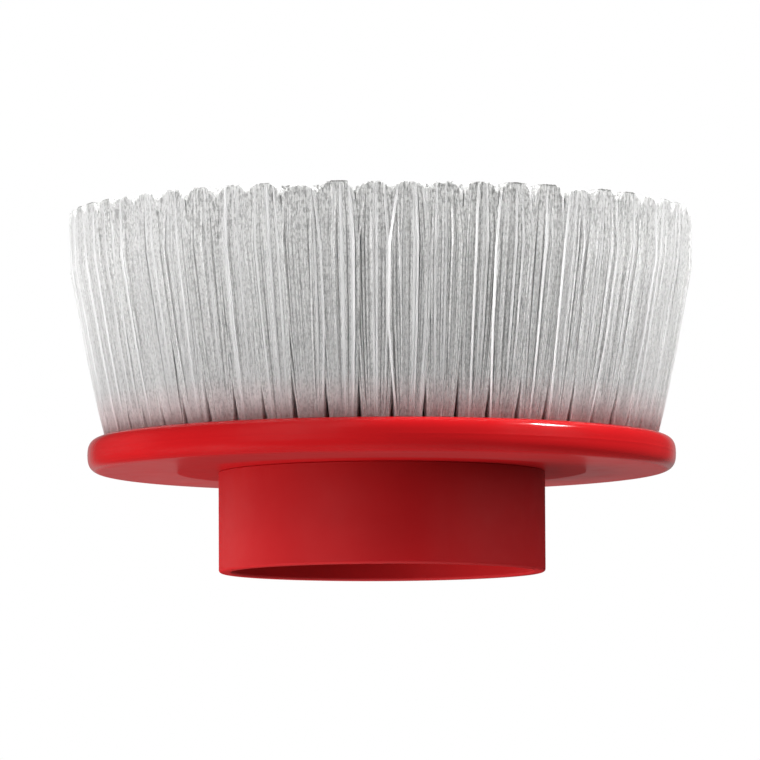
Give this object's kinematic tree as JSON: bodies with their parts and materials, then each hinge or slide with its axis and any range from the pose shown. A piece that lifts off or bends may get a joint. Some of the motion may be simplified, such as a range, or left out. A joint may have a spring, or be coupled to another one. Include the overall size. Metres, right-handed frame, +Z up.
{
  "type": "neck duster brush",
  "caption": "Round neck brush: a disc head on a short hollow ring grip, with a flared field of clear nylon tufts cut flat on top.",
  "frame": {"origin": "centre of the ring grip's open rim, on the surface that the brush stands on", "axes": "+Z up along the brush's axis, from the rim through the disc to the bristle tips; -Y faces the picture's camera"},
  "size_m": [0.1057, 0.1057, 0.0611],
  "materials": {
    "gloss_red": "gloss",
    "satin_red": "satin",
    "clear_nylon": "satin",
    "anchor_steel": "satin"
  },
  "bodies": {
    "root": {"head_disc": "gloss_red", "grip_collar": "satin_red", "bristle_band_1": "clear_nylon", "bristle_band_2": "clear_nylon", "bristle_band_3": "clear_nylon", "bristle_band_4": "clear_nylon", "anchor_wire_1": "anchor_steel", "anchor_wire_2": "anchor_steel", "anchor_wire_3": "anchor_steel", "anchor_wire_4": "anchor_steel", "anchor_wire_5": "anchor_steel", "anchor_wire_6": "anchor_steel", "anchor_wire_7": "anchor_steel", "anchor_wire_8": "anchor_steel", "anchor_wire_9": "anchor_steel"}
  },
  "joints": []
}
